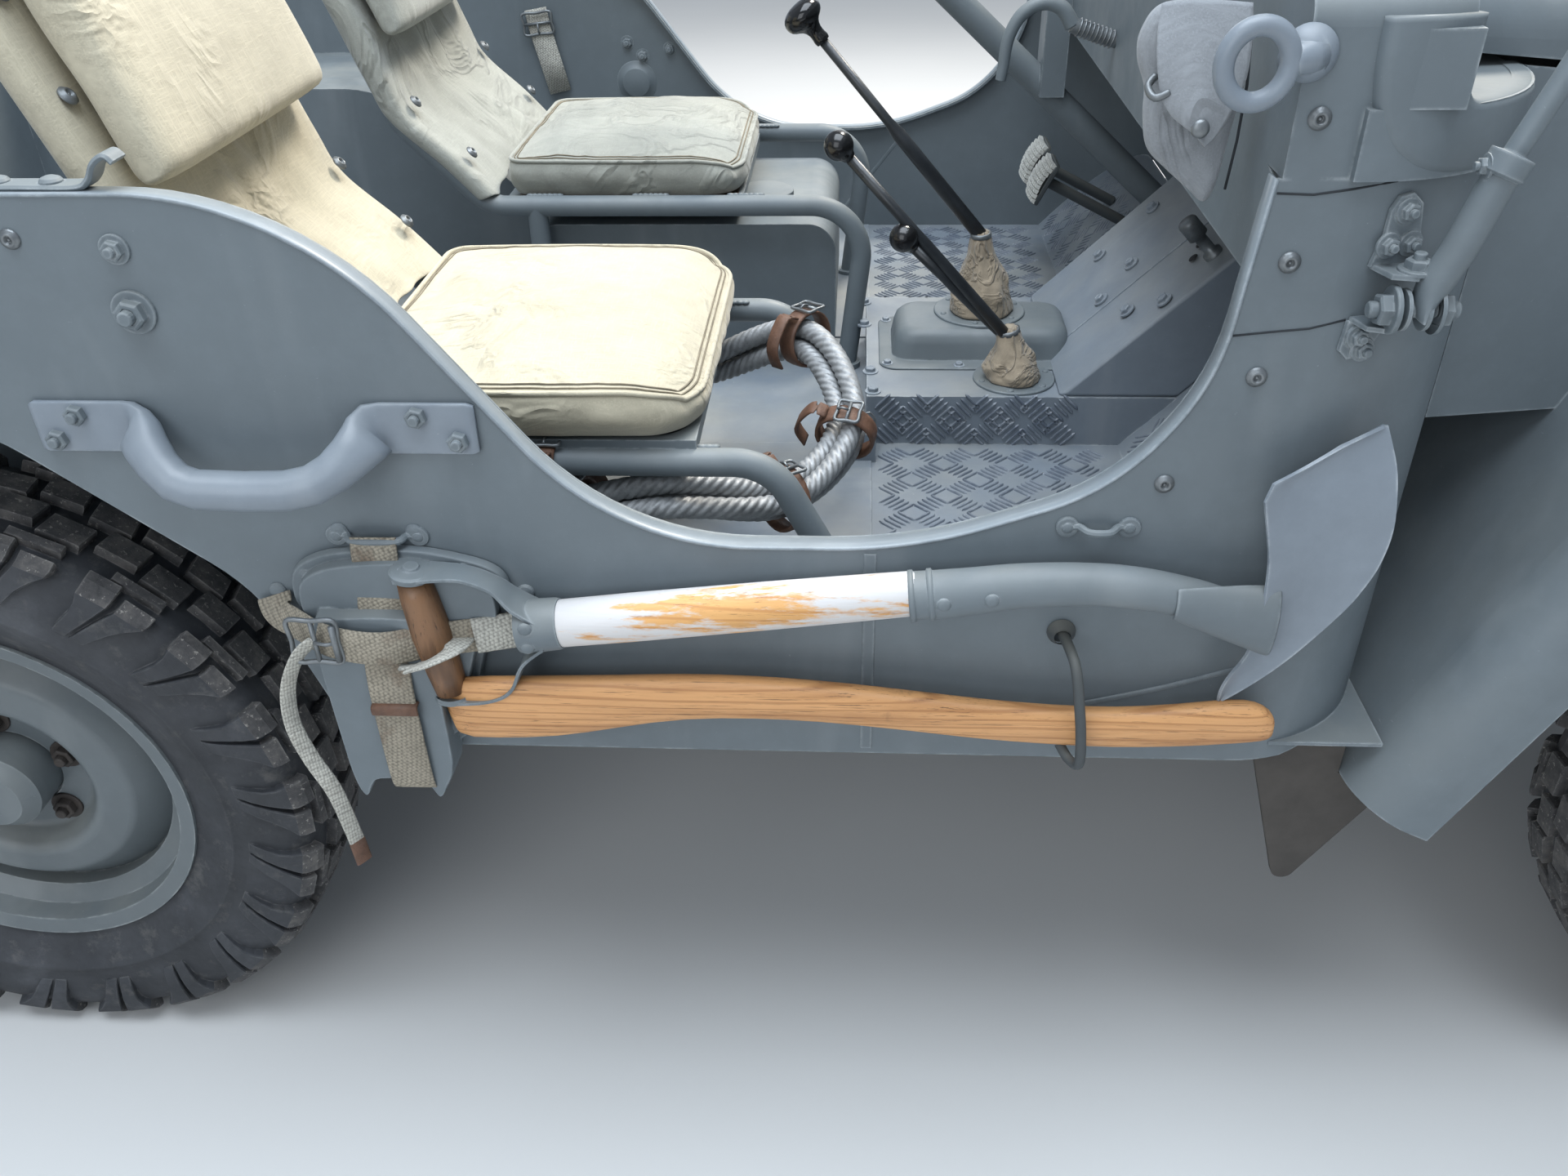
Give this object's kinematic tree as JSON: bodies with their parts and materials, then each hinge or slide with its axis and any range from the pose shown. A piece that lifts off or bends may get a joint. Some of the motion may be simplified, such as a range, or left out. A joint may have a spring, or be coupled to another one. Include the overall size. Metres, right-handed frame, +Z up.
{
  "type": "army 4x4 car",
  "caption": "Light open army car with folding windshield, canvas front seats, a spare wheel at the tail, and an axe and shovel strapped to its side.",
  "frame": {"origin": "on the ground, at the middle of the car's length and width", "axes": "+X forward, +Y to the car's left, +Z up"},
  "size_m": [3.521, 1.572, 1.702],
  "materials": {
    "paint": "matt blue-grey paint, worn",
    "chassis_paint": "dull dark paint",
    "castings": "painted castings",
    "tyre": "matt black rubber",
    "canvas": "faded khaki canvas",
    "wood": "oiled ash",
    "wire": "dull galvanised wire",
    "rubber": "worn rubber",
    "black_gloss": "black enamel",
    "glass": "clear",
    "lamp": "clear fluted glass"
  },
  "bodies": {
    "root": {"body_floor": "paint", "body_side_right": "paint", "body_side_left": "paint", "rear_panel": "paint", "wheelhouses": "paint", "cowl": "paint", "fender_right": "paint", "fender_left": "paint", "grille": "paint", "handles": "paint", "bumpers": "paint", "mirrors": "paint", "rim_spare": "paint", "driver_seat_frame": "paint", "fuel_tank": "paint", "steering_column": "paint", "frame": "chassis_paint", "front_axle": "chassis_paint", "rear_axle": "chassis_paint", "springs": "chassis_paint", "radiator": "chassis_paint", "engine": "castings", "tyre_spare": "tyre", "driver_cushions": "canvas", "pouch": "canvas", "tools": "wood", "mud_flaps": "rubber", "controls": "black_gloss", "lamps": "lamp"},
    "wheel_rear_right": {"rim_rear_right": "paint", "tyre_rear_right": "tyre"},
    "wheel_rear_left": {"rim_rear_left": "paint", "tyre_rear_left": "tyre"},
    "wheel_front_right": {"rim_front_right": "paint", "tyre_front_right": "tyre"},
    "wheel_front_left": {"rim_front_left": "paint", "tyre_front_left": "tyre"},
    "knuckle_left": {"knuckle_left": "chassis_paint"},
    "knuckle_right": {"knuckle_right": "chassis_paint"},
    "tie_rod": {"tie_rod": "chassis_paint"},
    "steering_wheel": {"steering_wheel": "black_gloss"},
    "hood": {"hood": "paint"},
    "windshield": {"windshield_frame": "paint", "windshield_glass": "glass"},
    "passenger_seat": {"passenger_seat_frame": "paint", "passenger_cushions": "canvas", "wire_rope": "wire"}
  },
  "joints": [
    {"name": "spin_rear_right", "type": "hinge", "parent": "root", "child": "wheel_rear_right", "pos_m": [-0.9065, -0.6225, 0.365], "axis": [0, 1, 0], "continuous": true},
    {"name": "spin_rear_left", "type": "hinge", "parent": "root", "child": "wheel_rear_left", "pos_m": [-0.9065, 0.6225, 0.365], "axis": [0, 1, 0], "continuous": true},
    {"name": "steer_left", "type": "hinge", "parent": "root", "child": "knuckle_left", "pos_m": [1.1505, 0.545, 0.365], "axis": [0, 0, 1], "range_deg": [-26, 26]},
    {"name": "steer_right", "type": "hinge", "parent": "root", "child": "knuckle_right", "pos_m": [1.1505, -0.545, 0.365], "axis": [0, 0, 1], "range_deg": [-26, 26]},
    {"name": "spin_front_right", "type": "hinge", "parent": "knuckle_right", "child": "wheel_front_right", "pos_m": [1.1505, -0.6225, 0.365], "axis": [0, 1, 0], "continuous": true},
    {"name": "spin_front_left", "type": "hinge", "parent": "knuckle_left", "child": "wheel_front_left", "pos_m": [1.1505, 0.6225, 0.365], "axis": [0, 1, 0], "continuous": true},
    {"name": "tie_rod_slide", "type": "slide", "parent": "root", "child": "tie_rod", "axis": [0, 1, 0], "range_m": [-0.075, 0.075]},
    {"name": "steering_turn", "type": "hinge", "parent": "root", "child": "steering_wheel", "pos_m": [-0.1435, 0.35, 1.265], "axis": [-0.7489, 0, 0.6627], "range_deg": [-340, 340]},
    {"name": "hood_hinge", "type": "hinge", "parent": "root", "child": "hood", "pos_m": [0.4465, 0, 1.172], "axis": [0, 1, 0], "range_deg": [-92, 0]},
    {"name": "windshield_fold", "type": "hinge", "parent": "root", "child": "windshield", "pos_m": [0.3835, 0, 1.192], "axis": [0, 1, 0], "range_deg": [0, 90]},
    {"name": "passenger_seat_tip", "type": "hinge", "parent": "root", "child": "passenger_seat", "pos_m": [0.0385, -0.4, 0.562], "axis": [0, 1, 0], "range_deg": [0, 50]}
  ],
  "couplings": [
    {"joint": "steer_right", "follows": "steer_left", "ratio": 1},
    {"joint": "tie_rod_slide", "follows": "steer_left", "m_per_rad": 0.16},
    {"joint": "steering_turn", "follows": "steer_left", "ratio": 13}
  ]
}
